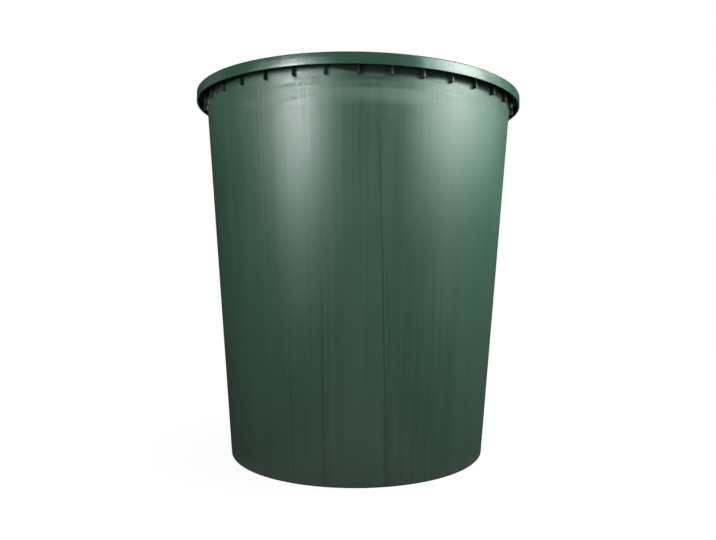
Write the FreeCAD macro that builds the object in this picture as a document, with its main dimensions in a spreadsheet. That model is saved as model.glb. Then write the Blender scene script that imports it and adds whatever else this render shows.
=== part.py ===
"""Round rain barrel with a lift-off lid, as a parametric document.

The barrel is a tapered moulding: a wall, a base that stands on a foot ring, and a rim flange with
thin ribs below it. The lid lies on the flange and its skirt hangs outside the rim.
Millimetres, +Z up, origin on the ground at the middle of the base, front towards -Y.
"""
import FreeCAD
import Part
import Sketcher
import os

WALL_SEGMENTS = 12
RIB_GROUPS = ("front", "right", "back", "left")
RIBS_PER_GROUP = 9

# Driving dimensions: alias, value, meaning.
SIZES = (
    ("base_radius", 316.0, "outer radius of the wall, carried down to the ground"),
    ("top_radius", 376.8, "outer radius of the wall under the flange"),
    ("wall_height", 870.0, "ground to the underside of the flange"),
    ("wall_thickness", 4.0, "wall, measured level"),
    ("foot_height", 14.0, "ground to the seam between base and wall"),
    ("foot_width", 24.0, "ring of the base that stands on the ground"),
    ("foot_bevel", 3.0, "outer lower edge of the base"),
    ("floor_rise", 8.0, "ground to the underside of the floor"),
    ("floor_thickness", 4.0, "floor of the barrel, measured upright"),
    ("floor_slope_run", 10.0, "level run of the slope from foot ring up to the floor"),
    ("flange_reach", 12.2, "flange beyond the wall"),
    ("flange_thickness", 4.0, "flange"),
    ("lip_drop", 8.0, "turned-down lip below the flange"),
    ("lip_thickness", 3.0, "turned-down lip"),
    ("rib_reach", 10.2, "rib beyond the wall at its lower end"),
    ("rib_drop", 30.3, "rib below the flange"),
    ("rib_thickness", 4.0, "rib"),
    ("lid_thickness", 3.0, "cover of the lid"),
    ("skirt_clearance", 7.6, "rim to the inside of the skirt at its top"),
    ("skirt_thickness", 3.0, "skirt of the lid"),
    ("skirt_draft", 0.4, "radius that the skirt gains on its way down"),
    ("skirt_drop", 20.5, "skirt below the underside of the cover"),
    ("edge_bevel", 2.0, "upper outer edge of the lid"),
    ("ring_clearance", 5.6, "mouth of the barrel to the centring ring"),
    ("ring_thickness", 3.0, "centring ring of the lid"),
    ("ring_drop", 12.0, "centring ring below the cover"),
    ("step_inset", 46.0, "edge of the cover to the foot of its step"),
    ("step_run", 7.0, "level run of the step"),
    ("step_rise", 8.0, "height of the step"),
    ("cone_rise", 15.0, "rise of the shallow cone above the step"),
    ("crown_radius", 60.0, "flat middle of the lid"),
)


def make_sheet(doc):
    """Spreadsheet with one aliased cell for each driving dimension."""
    sheet = doc.addObject("Spreadsheet::Sheet", "Sizes")
    for row, (alias, value, meaning) in enumerate(SIZES, start=1):
        sheet.set(f"A{row}", meaning)
        sheet.set(f"B{row}", str(value))
        sheet.setAlias(f"B{row}", alias)
    doc.recompute()
    return sheet


def size(alias):
    """Reference to a driving dimension, for use in an expression."""
    return f"Sizes.{alias}"


def wall_radius(height):
    """Expression for the outer radius of the wall at a height."""
    gain = f"({size('top_radius')} - {size('base_radius')})"
    return f"({size('base_radius')} + {gain} * ({height}) / {size('wall_height')})"


RIM_TOP = f"({size('wall_height')} + {size('flange_thickness')})"
MOUTH_RADIUS = f"({size('top_radius')} - {size('wall_thickness')})"
RIM_RADIUS = f"({size('top_radius')} + {size('flange_reach')})"
SKIRT_INSIDE = f"({RIM_RADIUS} + {size('skirt_clearance')})"
LID_RADIUS = f"({SKIRT_INSIDE} + {size('skirt_thickness')})"
LID_TOP = f"({RIM_TOP} + {size('lid_thickness')})"


def origin_plane(body, role):
    """One of the body's own origin planes, found by its role."""
    return next(feature for feature in body.Origin.OriginFeatures if feature.Role == role)


def pin_point(sketch, index, point, name):
    """Hold the start of a profile's edge at a place given by two expressions."""
    for axis, kind, line, expression in zip("XY", ("DistanceX", "DistanceY"), (-2, -1), point):
        value = float(sketch.evalExpression(expression))
        if value == 0.0:
            sketch.addConstraint(Sketcher.Constraint("PointOnObject", index, 1, line))
            continue
        number = sketch.addConstraint(Sketcher.Constraint(kind, -1, 1, index, 1, value))
        sketch.renameConstraint(number, f"{name}{axis}")
        sketch.setExpression(f"Constraints.{name}{axis}", expression)


def make_profile(body, name, points):
    """Closed outline in the XZ plane, each corner bound to the sheet."""
    sketch = body.newObject("Sketcher::SketchObject", f"{name}_profile")
    sketch.AttachmentSupport = (origin_plane(body, "XZ_Plane"), [""])
    sketch.MapMode = "FlatFace"
    corners = [
        FreeCAD.Vector(float(sketch.evalExpression(x)), float(sketch.evalExpression(y)), 0)
        for x, y in points
    ]
    for start, end in zip(corners, corners[1:] + corners[:1]):
        sketch.addGeometry(Part.LineSegment(start, end), False)
    for index, point in enumerate(points):
        following = (index + 1) % len(points)
        sketch.addConstraint(Sketcher.Constraint("Coincident", index, 2, following, 1))
        pin_point(sketch, index, point, f"p{index}")
    return sketch


def revolve(body, name, sketch, angle="360"):
    """Turn a profile about the barrel's axis, evenly to both sides of its plane."""
    turned = body.newObject("PartDesign::Revolution", f"{name}_turned")
    turned.Profile = sketch
    turned.ReferenceAxis = (sketch, ["V_Axis"])
    turned.Midplane = True
    turned.setExpression("Angle", angle)
    return turned


def make_body(doc, label):
    """Empty body named after its node."""
    body = doc.addObject("PartDesign::Body", label)
    body.Label = label
    return body


def make_wall(doc, number):
    """One segment of the tapered wall, from the base's seam to the flange."""
    label = f"wall_{number + 1:02d}"
    body = make_body(doc, label)
    seam = size("foot_height")
    top = size("wall_height")
    outer_low = wall_radius(seam)
    thickness = size("wall_thickness")
    points = (
        (f"{outer_low} - {thickness}", seam),
        (outer_low, seam),
        (size("top_radius"), top),
        (MOUTH_RADIUS, top),
    )
    sketch = make_profile(body, label, points)
    revolve(body, label, sketch, f"360 / {WALL_SEGMENTS}")
    turn = FreeCAD.Rotation(FreeCAD.Vector(0, 0, 1), 360.0 / WALL_SEGMENTS * number - 90.0)
    body.Placement = FreeCAD.Placement(FreeCAD.Vector(), turn)
    return body


def make_base(doc):
    """Floor of even thickness, raised in the middle, on a foot ring that continues the wall down."""
    body = make_body(doc, "base")
    seam = size("foot_height")
    bevel = size("foot_bevel")
    thickness = size("floor_thickness")
    rise = size("floor_rise")
    outer_low = wall_radius("0")
    outer_seam = wall_radius(seam)
    foot_inside = f"({outer_low} - {size('foot_width')})"
    slope_inside = f"({foot_inside} - {size('floor_slope_run')})"
    inner_seam = f"({outer_seam} - {size('wall_thickness')})"
    inner_low = f"({wall_radius(thickness)} - {size('wall_thickness')})"
    points = (
        ("0", rise),
        (slope_inside, rise),
        (foot_inside, "0"),
        (f"{outer_low} - {bevel}", "0"),
        (wall_radius(bevel), bevel),
        (outer_seam, seam),
        (inner_seam, seam),
        (inner_low, thickness),
        (foot_inside, thickness),
        (slope_inside, f"{rise} + {thickness}"),
        ("0", f"{rise} + {thickness}"),
    )
    revolve(body, "base", make_profile(body, "base", points))
    return body


def make_rim(doc):
    """Flange round the mouth, with its turned-down lip."""
    body = make_body(doc, "rim")
    under = size("wall_height")
    lip_inside = f"({RIM_RADIUS} - {size('lip_thickness')})"
    lip_end = f"({under} - {size('lip_drop')})"
    points = (
        (MOUTH_RADIUS, under),
        (lip_inside, under),
        (lip_inside, lip_end),
        (RIM_RADIUS, lip_end),
        (RIM_RADIUS, RIM_TOP),
        (MOUTH_RADIUS, RIM_TOP),
    )
    revolve(body, "rim", make_profile(body, "rim", points))
    return body


def make_ribs(doc, group, facing):
    """Nine thin plates of one quarter, from the wall to under the flange."""
    label = f"rim_ribs_{group}"
    body = make_body(doc, label)
    top = size("wall_height")
    bottom = f"({top} - {size('rib_drop')})"
    end = f"({wall_radius(bottom)} + {size('rib_reach')})"
    points = (
        (wall_radius(bottom), bottom),
        (end, bottom),
        (end, top),
        (size("top_radius"), top),
    )
    sketch = make_profile(body, label, points)
    plate = body.newObject("PartDesign::Pad", f"{label}_plate")
    plate.Profile = sketch
    plate.Midplane = True
    plate.setExpression("Length", size("rib_thickness"))
    doc.recompute()
    spacing = 90.0 / RIBS_PER_GROUP
    pattern = body.newObject("PartDesign::PolarPattern", f"{label}_row")
    pattern.Originals = [plate]
    pattern.Axis = (origin_axis(body), [""])
    pattern.Angle = spacing * (RIBS_PER_GROUP - 1)
    pattern.Occurrences = RIBS_PER_GROUP
    body.Tip = pattern
    first = facing - spacing * (RIBS_PER_GROUP - 1) / 2
    turn = FreeCAD.Rotation(FreeCAD.Vector(0, 0, 1), first)
    body.Placement = FreeCAD.Placement(FreeCAD.Vector(), turn)
    return body


def origin_axis(body):
    """The body's own upright axis."""
    return origin_plane(body, "Z_Axis")


def make_lid_panel(doc):
    """Round cover: a flat border over the rim, a step and a shallow cone that sheds rain."""
    body = make_body(doc, "lid_panel")
    under = RIM_TOP
    thickness = size("lid_thickness")
    bevel = size("edge_bevel")
    step_outside = f"({LID_RADIUS} - {size('step_inset')})"
    step_inside = f"({step_outside} - {size('step_run')})"
    step_top = f"({LID_TOP} + {size('step_rise')})"
    crown = f"({step_top} + {size('cone_rise')})"
    crown_radius = size("crown_radius")
    points = (
        ("0", f"{crown} - {thickness}"),
        (crown_radius, f"{crown} - {thickness}"),
        (step_inside, f"{step_top} - {thickness}"),
        (step_outside, under),
        (LID_RADIUS, under),
        (LID_RADIUS, f"{LID_TOP} - {bevel}"),
        (f"{LID_RADIUS} - {bevel}", LID_TOP),
        (step_outside, LID_TOP),
        (step_inside, step_top),
        (crown_radius, crown),
        ("0", crown),
    )
    revolve(body, "lid_panel", make_profile(body, "lid_panel", points))
    return body


def make_lid_skirt(doc):
    """Turned-down band round the lid, a little wider at its lower edge."""
    body = make_body(doc, "lid_skirt")
    top = RIM_TOP
    bottom = f"({top} - {size('skirt_drop')})"
    draft = size("skirt_draft")
    points = (
        (SKIRT_INSIDE, top),
        (f"{SKIRT_INSIDE} + {draft}", bottom),
        (f"{LID_RADIUS} + {draft}", bottom),
        (LID_RADIUS, top),
    )
    revolve(body, "lid_skirt", make_profile(body, "lid_skirt", points))
    return body


def make_lid_ring(doc):
    """Short ring under the cover that keeps the lid centred in the mouth."""
    body = make_body(doc, "lid_ring")
    top = RIM_TOP
    bottom = f"({top} - {size('ring_drop')})"
    outside = f"({MOUTH_RADIUS} - {size('ring_clearance')})"
    inside = f"({outside} - {size('ring_thickness')})"
    points = (
        (inside, bottom),
        (outside, bottom),
        (outside, top),
        (inside, top),
    )
    revolve(body, "lid_ring", make_profile(body, "lid_ring", points))
    return body


def check_document(doc, pieces):
    """Stop if any object failed to build or any piece is not a sound solid."""
    for item in doc.Objects:
        if "Invalid" in item.State or "Error" in item.State:
            raise RuntimeError(f"{item.Name} failed: {item.State}")
    for piece in pieces:
        shape = piece.Shape
        if shape.isNull() or not shape.isValid() or not shape.Solids:
            raise RuntimeError(f"{piece.Label} has no sound solid")


def main():
    doc = FreeCAD.newDocument("RainBarrel")
    make_sheet(doc)
    pieces = [make_wall(doc, number) for number in range(WALL_SEGMENTS)]
    pieces.append(make_base(doc))
    pieces.append(make_rim(doc))
    for quarter, group in enumerate(RIB_GROUPS):
        pieces.append(make_ribs(doc, group, 90.0 * quarter - 90.0))
    pieces.append(make_lid_panel(doc))
    pieces.append(make_lid_skirt(doc))
    pieces.append(make_lid_ring(doc))
    doc.recompute()
    check_document(doc, pieces)
    os.makedirs("parts", exist_ok=True)
    for piece in pieces:
        piece.Shape.exportStep(f"parts/{piece.Label}.step")
        print(piece.Label, len(piece.Shape.Solids), round(piece.Shape.Volume))


main()
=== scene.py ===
"""Looks of a round rain barrel with a lift-off lid: mouldings, plastic, studio and camera."""
import math
from collections import namedtuple

import bmesh
import bpy
from bpy.props import FloatProperty, FloatVectorProperty, IntProperty, PointerProperty
from mathutils import Matrix, Vector


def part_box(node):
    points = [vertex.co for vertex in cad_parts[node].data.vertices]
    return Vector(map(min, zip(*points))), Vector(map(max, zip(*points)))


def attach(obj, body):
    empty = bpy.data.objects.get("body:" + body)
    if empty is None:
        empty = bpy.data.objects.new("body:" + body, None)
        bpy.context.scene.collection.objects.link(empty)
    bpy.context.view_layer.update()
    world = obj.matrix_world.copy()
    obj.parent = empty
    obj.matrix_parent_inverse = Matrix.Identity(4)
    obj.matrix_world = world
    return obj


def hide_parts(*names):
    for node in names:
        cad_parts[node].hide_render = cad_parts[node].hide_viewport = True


bl_info = {
    "name": "Rain Barrel",
    "version": (1, 0, 0),
    "blender": (4, 5, 0),
    "location": "3D View > Sidebar > Rain Barrel",
    "description": "Dresses a round rain barrel and its lid as moulded green plastic",
    "category": "Object",
}

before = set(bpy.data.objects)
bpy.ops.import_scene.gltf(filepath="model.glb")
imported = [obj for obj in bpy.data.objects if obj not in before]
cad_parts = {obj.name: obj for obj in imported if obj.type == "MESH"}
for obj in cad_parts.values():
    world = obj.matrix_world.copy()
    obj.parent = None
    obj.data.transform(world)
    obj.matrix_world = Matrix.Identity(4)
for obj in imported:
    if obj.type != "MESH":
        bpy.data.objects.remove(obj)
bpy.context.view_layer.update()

# Nodes of the frame that each visible moulding stands for.
WALL_NODES = tuple(sorted(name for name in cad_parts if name.startswith("wall_")))
RIB_NODES = tuple(sorted(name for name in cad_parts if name.startswith("rim_ribs_")))
LID_NODES = ("lid_panel", "lid_skirt", "lid_ring")

WALL_LOW, WALL_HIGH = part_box("wall_01")
BASE_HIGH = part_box("base")[1]
RIM_LOW, RIM_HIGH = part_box("rim")
RIB_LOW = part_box("rim_ribs_front")[0]
PANEL_LOW, PANEL_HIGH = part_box("lid_panel")
SKIRT_LOW, SKIRT_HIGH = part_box("lid_skirt")
RING_LOW, RING_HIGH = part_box("lid_ring")

# Width of the photograph in pixels, of the camera's sensor in millimetres, and the camera's reach in metres.
PHOTO_WIDTH = 716
SENSOR_WIDTH = 36.0
CAMERA_REACH = 100.0

# Turned mouldings: longest straight run in metres, steps in a rounded corner, least angle of a sharp edge.
LONGEST_RUN = 0.03
ARC_STEPS = 6
SHARP_ANGLE = math.radians(50)

# Rounding of the lid's thin edges, as a share of its thickness.
THIN_EDGE_SHARE = 0.3

# A rib: how deep it sits in the wall in metres, its soft edges and its lower corner as shares of its
# rounding, and the middle of its flared root, along and across, as shares of the flare.
RIB_SUNK = 0.0006
RIB_EDGE_SHARE = 0.25
RIB_CORNER_SHARE = 0.45
FLARE_ALONG = 0.35
FLARE_ACROSS = 0.16

# Draw lines that the mould left on the wall: turn at the ground and slant per metre of height in degrees,
# half width in degrees, lower and upper end in metres, strength.
MOULD_LINES = (
    (11.5, -6.8, 0.62, 0.13, 0.72, 1.3),
    (11.6, -6.8, 1.90, -0.10, 0.19, 0.95),
    (12.9, -6.4, 0.90, -0.10, 0.46, 0.55),
    (-12.3, 0.0, 0.75, -0.10, 0.43, 0.8),
    (-34.4, 0.0, 0.65, 0.08, 0.38, 0.6),
    (-24.5, 0.0, 0.50, -0.02, 0.22, 0.5),
    (17.2, -8.3, 0.45, -0.10, 0.34, 0.5),
    (24.1, -7.8, 0.50, 0.12, 0.40, 0.45),
    (30.4, -6.5, 0.55, 0.12, 0.48, 0.5),
    (32.7, -5.0, 0.40, 0.18, 0.50, 0.6),
    (22.0, -3.5, 0.45, -0.02, 0.25, 0.5),
    (50.0, -9.0, 0.80, -0.02, 0.31, 0.4),
    (-33.0, 0.0, 0.50, 0.48, 0.86, 0.9),
    (-31.4, 0.0, 0.30, 0.74, 0.86, 0.5),
)

# Smoother lines that shine in the highlight, as rows like those above; they are also painted a little
# lighter, a painted highlight.
SHINE_LINES = (
    (-15.7, 0.0, 0.45, 0.66, 0.86, 0.7),
    (-11.9, -1.0, 0.40, 0.56, 0.72, 0.9),
    (-18.6, 0.0, 0.35, 0.72, 0.86, 0.5),
    (40.5, -2.0, 0.60, 0.30, 0.62, 0.4),
)

# Rub marks round the wall below the rim: height at the front in metres, rise in metres per radian of turn,
# half width in metres, first and last turn in degrees, strength.
RUB_MARKS = (
    (0.8360, 0.000, 0.0060, -21.0, -10.5, 1.0),
    (0.8290, 0.011, 0.0070, -27.5, -10.0, 0.85),
    (0.8130, 0.040, 0.0060, -28.5, -10.5, 0.65),
    (0.8187, 0.020, 0.0080, -43.0, -31.0, 0.5),
    (0.8187, 0.017, 0.0045, -8.0, 19.0, 0.8),
    (0.8250, 0.017, 0.0100, -8.0, 11.0, 0.9),
    (0.7732, -0.049, 0.0090, -1.0, 11.0, 0.4),
)

# Soft ends of the draw lines and the shining lines in metres, and of the rub marks in radians.
LINE_END = 0.05
SHINE_END = 0.04
RUB_END = 0.05

# Streaks of each plastic: fineness round the axis, stretch along the surface, detail.
BARREL_STREAKS = {
    "broad": (9.0, 0.7, 3.0),
    "middle": (34.0, 1.1, 3.0),
    "fine": (150.0, 2.0, 2.0),
    "rings": (5.0, 95.0, 2.0),
    "rub_patches": (46.0, 90.0, 3.0),
    "scuff_and_sheen_patches": (3.0, 14.0, 3.0),
}
LID_STREAKS = {
    "rings": (3.0, 260.0, 3.0),
    "blotches": (7.0, 30.0, 2.0),
    "fine": (12.0, 900.0, 2.0),
}
STREAK_ROUGHNESS = 0.6

# Mottling of each plastic, and grain of both: scale, detail.
BARREL_CLOUDS = (7.0, 2.0)
LID_CLOUDS = (9.0, 2.0)
GRAIN = (900.0, 1.0)

# Sockets of a colour mix by their order: three inputs and the output.
MIX_SHARE, MIX_FIRST, MIX_SECOND, MIX_RESULT = 0, 6, 7, 2

# Middle of a noise, taken off so that it runs evenly above and below 0.
NOISE_MIDDLE = 0.5

# Weights of the effects in the looks of the barrel.
BARREL_TONE = {
    "broad": 0.24, "middle": 0.43, "fine": 0.42, "smudges": 0.3, "clouds": 0.1,
    "lines": -0.32, "shines": 0.12, "rubs": -0.26, "foot": -0.13,
}
BARREL_ROUGH = {
    "middle": 0.07, "clouds": 0.10, "smudges": 0.25, "lines": 0.015, "shines": -0.07,
    "rubs": 0.20, "scuffs_and_sheen": 0.2, "rim_shade": 0.50, "sole_shade": 0.3,
}
BARREL_RELIEF = {
    "broad": 0.38, "middle": 0.15, "fine": 0.05, "smudges": 0.45, "grain": 0.006, "lines": -0.15,
}

# Weights of the effects in the looks of the lid.
LID_TONE = {"rings": 0.22, "blotches": 0.25, "fine": 0.12, "clouds": 0.12}
LID_GLOSS = {"rings": 0.20, "blotches": 0.20, "clouds": 0.10}
LID_ROUGH = {"gloss": 1.0, "edge": 0.40, "inside": 0.35, "dull": 0.20}
LID_RELIEF = {"rings": 0.10, "blotches": 0.9, "fine": 0.02, "grain": 0.006}
# Painted shade on the lid: a thin dark line along its upper outer edge, and a darker inside.
LID_PAINTED_SHADE_WEIGHTS = {"edge": 1.0, "inside": 0.6}

# Both plastics: depth of the relief in metres, refraction, stretch of the highlights.
RELIEF_DEPTH = 0.0011
PLASTIC_IOR = 1.5
PLASTIC_ANISOTROPY = 0.55

# Painted shade on each plastic, as a share of its green: on the barrel under its rim, on its ribs and along
# its foot, and on the lid along its edge and inside.
BARREL_PAINTED_SHADE = 0.12
LID_PAINTED_SHADE = 0.10

# Heights on the barrel, in metres. Here and below, a pair says where an effect begins and where it is full.
NEAR_RIM = (0.74, 0.83)
SCUFF_AND_SHEEN_LOWER = (0.776, 0.808)
SCUFF_AND_SHEEN_UPPER = (0.820, 0.813)
# The wall is painted darker towards the ground: painted shade.
LOW_SHADE_BAND = (0.10, 0.0)
# A painted shade along the foot's lower edge, where it meets the ground.
SOLE_SHADE_BAND = (0.0050, 0.0022)
# The green is painted greyer towards the ground: a painted reflection of the floor.
FLOOR_REFLECTION_BAND = (0.50, 0.02)

# Turn where the worn band and its painted sheen are strongest, and turns to both sides of it, in radians.
SCUFF_AND_SHEEN_TURN = 0.18
SCUFF_AND_SHEEN_ASIDE = (0.46, 0.08)

# Values of the streaks that break up the rub marks and the worn band with its painted sheen.
RUB_PATCHES = (-0.22, 0.20)
SCUFF_AND_SHEEN_PATCHES = (0.0, 0.2)

# Strength of effects where they are full.
SCUFF_AND_SHEEN_PATCH_SHARE = 0.6
SCUFF_AND_SHEEN_SHARE = 0.24
SOLE_SHADE_SHARE = 0.65
FLOOR_REFLECTION_SHARE = 0.8

# Sides of the barrel, by the sine of the turn: -1 at the left, 0 at the front, 1 at the right.
# By these sides the painted shade under the rim runs longer towards the right, also shades the ribs' ends on
# the left and front, and is shorter in a band on the right.
LONG_SHADE_SIDE = (-0.20, 0.03)
SHADED_ENDS_SIDE = (0.13, 0.03)
SHORT_BAND_FROM = (0.32, 0.46)
SHORT_BAND_TO = (0.78, 0.62)

# Distances outwards from the wall's outside, from the ribs' ends and up from the flange, in metres, that
# bound the painted shade under the rim.
ON_RIBS = (0.0008, 0.0020)
AT_WALL = (0.0040, 0.0020)
OUTER_SKIN = (-0.003, -0.001)
BEHIND_RIB_ENDS = (-0.0002, -0.0008)
UNDER_FLANGE = (0.0015, 0.0)

# Painted shade under the rim, where the rim and the ribs shade the wall, in metres: its lower edge below the
# ribs, how much higher that is on the short left side and in a short band on the right, how softly it begins,
# and how much softer on the side where it runs longest.
SHADE_BELOW_RIBS = 0.0045
SHADE_LIFT = {"short_left": 0.0180, "short_right_band": 0.0055}
SHADE_FADE = 0.0055
LONG_SHADE_FADE = 0.0075

# On the lid, in metres: radii, heights from its seat, and radii from its edge.
OFF_MIDDLE = (0.02, 0.16)
# Painted shade: a thin dark line along the lid's upper outer edge.
EDGE_SHADE_HEIGHTS = (0.0, 0.0012)
EDGE_SHADE_RADII = (-0.0030, -0.0020)
# Painted shade: the inside of the lid darker.
INSIDE_SHADE_HEIGHTS = (0.0010, 0.0002)
INSIDE_SHADE_RADII = (-0.0018, -0.0026)
DULL_RADII = (-0.003, -0.009)

# Share of the lid's relief and uneven gloss that its duller top loses.
DULL_CALM = 0.75

# Floor: half width in metres, its grey to the barrel, its white to the eye, the gain in white far from the
# barrel, its light in the barrel's shine, the gain in a strip from front to back, and how far from the axis
# the white and the strip begin and are full.
FLOOR_REACH = 12.0
FLOOR_GREY = (0.05, 0.05, 0.05)
FLOOR_WHITE = 0.93
FAR_WHITE_GAIN = 0.07
FLOOR_SHINE = 0.045
STRIP_SHINE_GAIN = 0.29
FAR_FLOOR = (0.35, 0.9)
STRIP_ASIDE = (0.40, 0.10)

# Room: its white to the eye, and its light in the barrel's shine against that on the barrel.
ROOM_WHITE = 1.0
ROOM_SHINE_GAIN = 1.5

# Colours of the lamps, and of the faded edges of their faces.
WHITE_LIGHT = (1.0, 1.0, 1.0)
GARDEN_LIGHT = (0.92, 1.0, 0.95)
LEAF_LIGHT = (0.77, 1.0, 0.91)
EDGE_LIGHT = (0.70, 1.0, 0.91)

# A lamp's face runs from 0 to 1 across: its middle, and how far off that its light begins and is full.
FACE_MIDDLE = 0.5
FACE_SIDES = (0.5, 0.25)

# Lamps: name, watts, turn from the front to the right in degrees, distance from the axis,
# width, lower edge, upper edge in metres, the shares of the face that fade in from its lower edge
# and out to its upper edge, the colour of the light, and whether the plastic mirrors it.
Lamp = namedtuple("Lamp", "name power turn distance width low high low_fade high_fade colour mirrored")
STUDIO_LAMPS = (
    ("left_outer", 4.8, -54.0, 1.5, 0.50, 0.34, 1.50, 0.55, 0.45, GARDEN_LIGHT, True),
    ("left_softbox", 46.0, -38.6, 1.5, 0.50, 0.36, 1.50, 0.55, 0.45, WHITE_LIGHT, True),
    ("left_spill", 8.0, -26.0, 1.5, 0.50, 0.46, 1.50, 0.55, 0.45, LEAF_LIGHT, True),
    ("left_side", 0.35, -105.0, 1.5, 1.00, 0.80, 1.55, 0.30, 0.20, WHITE_LIGHT, True),
    ("left_fill", 4.0, -118.0, 1.5, 1.00, 0.80, 1.50, 0.20, 0.20, WHITE_LIGHT, False),
    ("left_low", 2.3, -38.0, 1.5, 0.70, 0.02, 0.62, 0.40, 0.01, WHITE_LIGHT, True),
    ("right_inner", 17.8, 44.0, 1.5, 0.50, 0.45, 1.58, 0.58, 0.01, LEAF_LIGHT, True),
    ("right_softbox", 27.5, 58.0, 1.5, 0.50, 0.46, 1.58, 0.58, 0.01, WHITE_LIGHT, True),
    ("right_outer", 23.5, 72.0, 1.5, 0.50, 0.46, 1.58, 0.58, 0.01, GARDEN_LIGHT, True),
    ("right_side", 6.2, 93.0, 1.5, 0.90, 0.53, 1.20, 0.80, 0.15, LEAF_LIGHT, True),
    ("right_rim", 2.3, 87.0, 1.5, 0.60, 1.15, 1.58, 0.20, 0.01, LEAF_LIGHT, True),
    ("right_high", 3.4, 61.0, 1.5, 0.60, 1.00, 1.60, 0.35, 0.01, WHITE_LIGHT, True),
    ("right_low", 1.9, 64.0, 1.5, 1.00, 0.02, 0.62, 0.40, 0.01, WHITE_LIGHT, True),
    ("right_fill", 22.0, 105.0, 1.5, 1.00, 0.45, 1.25, 0.20, 0.20, WHITE_LIGHT, False),
    ("side_top", 123.0, 90.0, 1.5, 1.60, 1.75, 2.45, 0.10, 0.01, WHITE_LIGHT, True),
    ("front_low", 8.0, 0.0, 1.5, 1.50, 0.02, 0.50, 0.20, 0.20, WHITE_LIGHT, False),
    ("back_softbox", 40.0, 180.0, 1.6, 1.60, 0.20, 1.50, 0.70, 0.30, WHITE_LIGHT, True),
    ("back_left", 30.0, -165.0, 2.0, 1.40, 1.30, 2.30, 0.10, 0.10, WHITE_LIGHT, False),
    ("back_right", 30.0, 165.0, 2.0, 1.40, 1.30, 2.30, 0.10, 0.10, WHITE_LIGHT, False),
)


class BarrelSizes(bpy.types.PropertyGroup):
    """Sizes of the barrel moulding."""

    top_radius: FloatProperty(
        name="Top radius", description="Outside of the wall under the flange",
        default=-WALL_LOW[1], unit="LENGTH")
    seam_radius: FloatProperty(
        name="Foot radius", description="Outside of the wall at the top of the foot",
        default=BASE_HIGH[0], unit="LENGTH")
    seam_height: FloatProperty(
        name="Foot height", description="Top of the foot", default=WALL_LOW[2], unit="LENGTH")
    wall_height: FloatProperty(
        name="Wall height", description="Underside of the flange", default=WALL_HIGH[2], unit="LENGTH")
    wall_thickness: FloatProperty(
        name="Wall thickness", description="Wall, measured level", default=0.004, unit="LENGTH")
    foot_width: FloatProperty(
        name="Foot width", description="Ring that stands on the ground", default=0.024, unit="LENGTH")
    foot_rounding: FloatProperty(
        name="Foot rounding", description="Outer lower edge", default=0.004, unit="LENGTH")
    floor_rise: FloatProperty(
        name="Floor rise", description="Ground to the underside of the floor", default=0.008, unit="LENGTH")
    floor_thickness: FloatProperty(
        name="Floor thickness", description="Floor of the barrel", default=0.004, unit="LENGTH")
    floor_slope_run: FloatProperty(
        name="Floor slope", description="Level run of the slope up to the floor",
        default=0.010, unit="LENGTH")
    rim_radius: FloatProperty(
        name="Rim radius", description="Outside of the turned-down lip", default=RIM_HIGH[0], unit="LENGTH")
    rim_top: FloatProperty(
        name="Rim top", description="Top of the flange", default=RIM_HIGH[2], unit="LENGTH")
    lip_end: FloatProperty(
        name="Lip end", description="Lower edge of the lip", default=RIM_LOW[2], unit="LENGTH")
    lip_thickness: FloatProperty(
        name="Lip thickness", description="Turned-down lip", default=0.003, unit="LENGTH")
    edge_rounding: FloatProperty(
        name="Edge rounding", description="Moulded edges of the rim", default=0.0013, unit="LENGTH")
    turn_steps: IntProperty(
        name="Turn steps", description="Faces round the barrel", default=288, min=36)


class RibSizes(bpy.types.PropertyGroup):
    """Sizes of the ribs below the rim."""

    count: IntProperty(name="Ribs", description="Ribs round the rim", default=36, min=3)
    end_radius: FloatProperty(
        name="End radius", description="Outer end of a rib", default=-RIB_LOW[1], unit="LENGTH")
    bottom: FloatProperty(
        name="Bottom", description="Lower end of a rib", default=RIB_LOW[2], unit="LENGTH")
    thickness: FloatProperty(
        name="Thickness", description="Rib near the wall", default=0.004, unit="LENGTH")
    end_thickness: FloatProperty(
        name="End thickness", description="Rib at its outer end", default=0.0028, unit="LENGTH")
    root_flare: FloatProperty(
        name="Root flare", description="Extra thickness where a rib meets the wall",
        default=0.0016, unit="LENGTH")
    rounding: FloatProperty(
        name="Rounding", description="Lower outer corner of a rib", default=0.0016, unit="LENGTH")


class LidSizes(bpy.types.PropertyGroup):
    """Sizes of the lid moulding."""

    edge_radius: FloatProperty(
        name="Edge radius", description="Outside of the cover", default=PANEL_HIGH[0], unit="LENGTH")
    seat: FloatProperty(
        name="Seat", description="Underside of the cover", default=PANEL_LOW[2], unit="LENGTH")
    crown: FloatProperty(
        name="Crown", description="Highest point of the lid", default=PANEL_HIGH[2], unit="LENGTH")
    thickness: FloatProperty(
        name="Thickness", description="Cover and skirt", default=0.003, unit="LENGTH")
    skirt_radius: FloatProperty(
        name="Skirt radius", description="Outside of the skirt at its lower edge",
        default=SKIRT_HIGH[0], unit="LENGTH")
    skirt_bottom: FloatProperty(
        name="Skirt bottom", description="Lower edge of the skirt", default=SKIRT_LOW[2], unit="LENGTH")
    ring_radius: FloatProperty(
        name="Ring radius", description="Outside of the centring ring", default=RING_HIGH[0], unit="LENGTH")
    ring_bottom: FloatProperty(
        name="Ring bottom", description="Lower edge of the centring ring", default=RING_LOW[2], unit="LENGTH")
    step_inset: FloatProperty(
        name="Step inset", description="Edge of the cover to the foot of its step",
        default=0.046, unit="LENGTH")
    step_run: FloatProperty(
        name="Step run", description="Level run of the step", default=0.007, unit="LENGTH")
    step_rise: FloatProperty(
        name="Step rise", description="Height of the step", default=0.008, unit="LENGTH")
    crown_radius: FloatProperty(
        name="Crown radius", description="Flat middle of the lid", default=0.060, unit="LENGTH")
    edge_rounding: FloatProperty(
        name="Edge rounding", description="Upper outer edge of the lid", default=0.0024, unit="LENGTH")
    soft_rounding: FloatProperty(
        name="Soft rounding", description="Edges of the step and the crown", default=0.006, unit="LENGTH")


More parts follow.
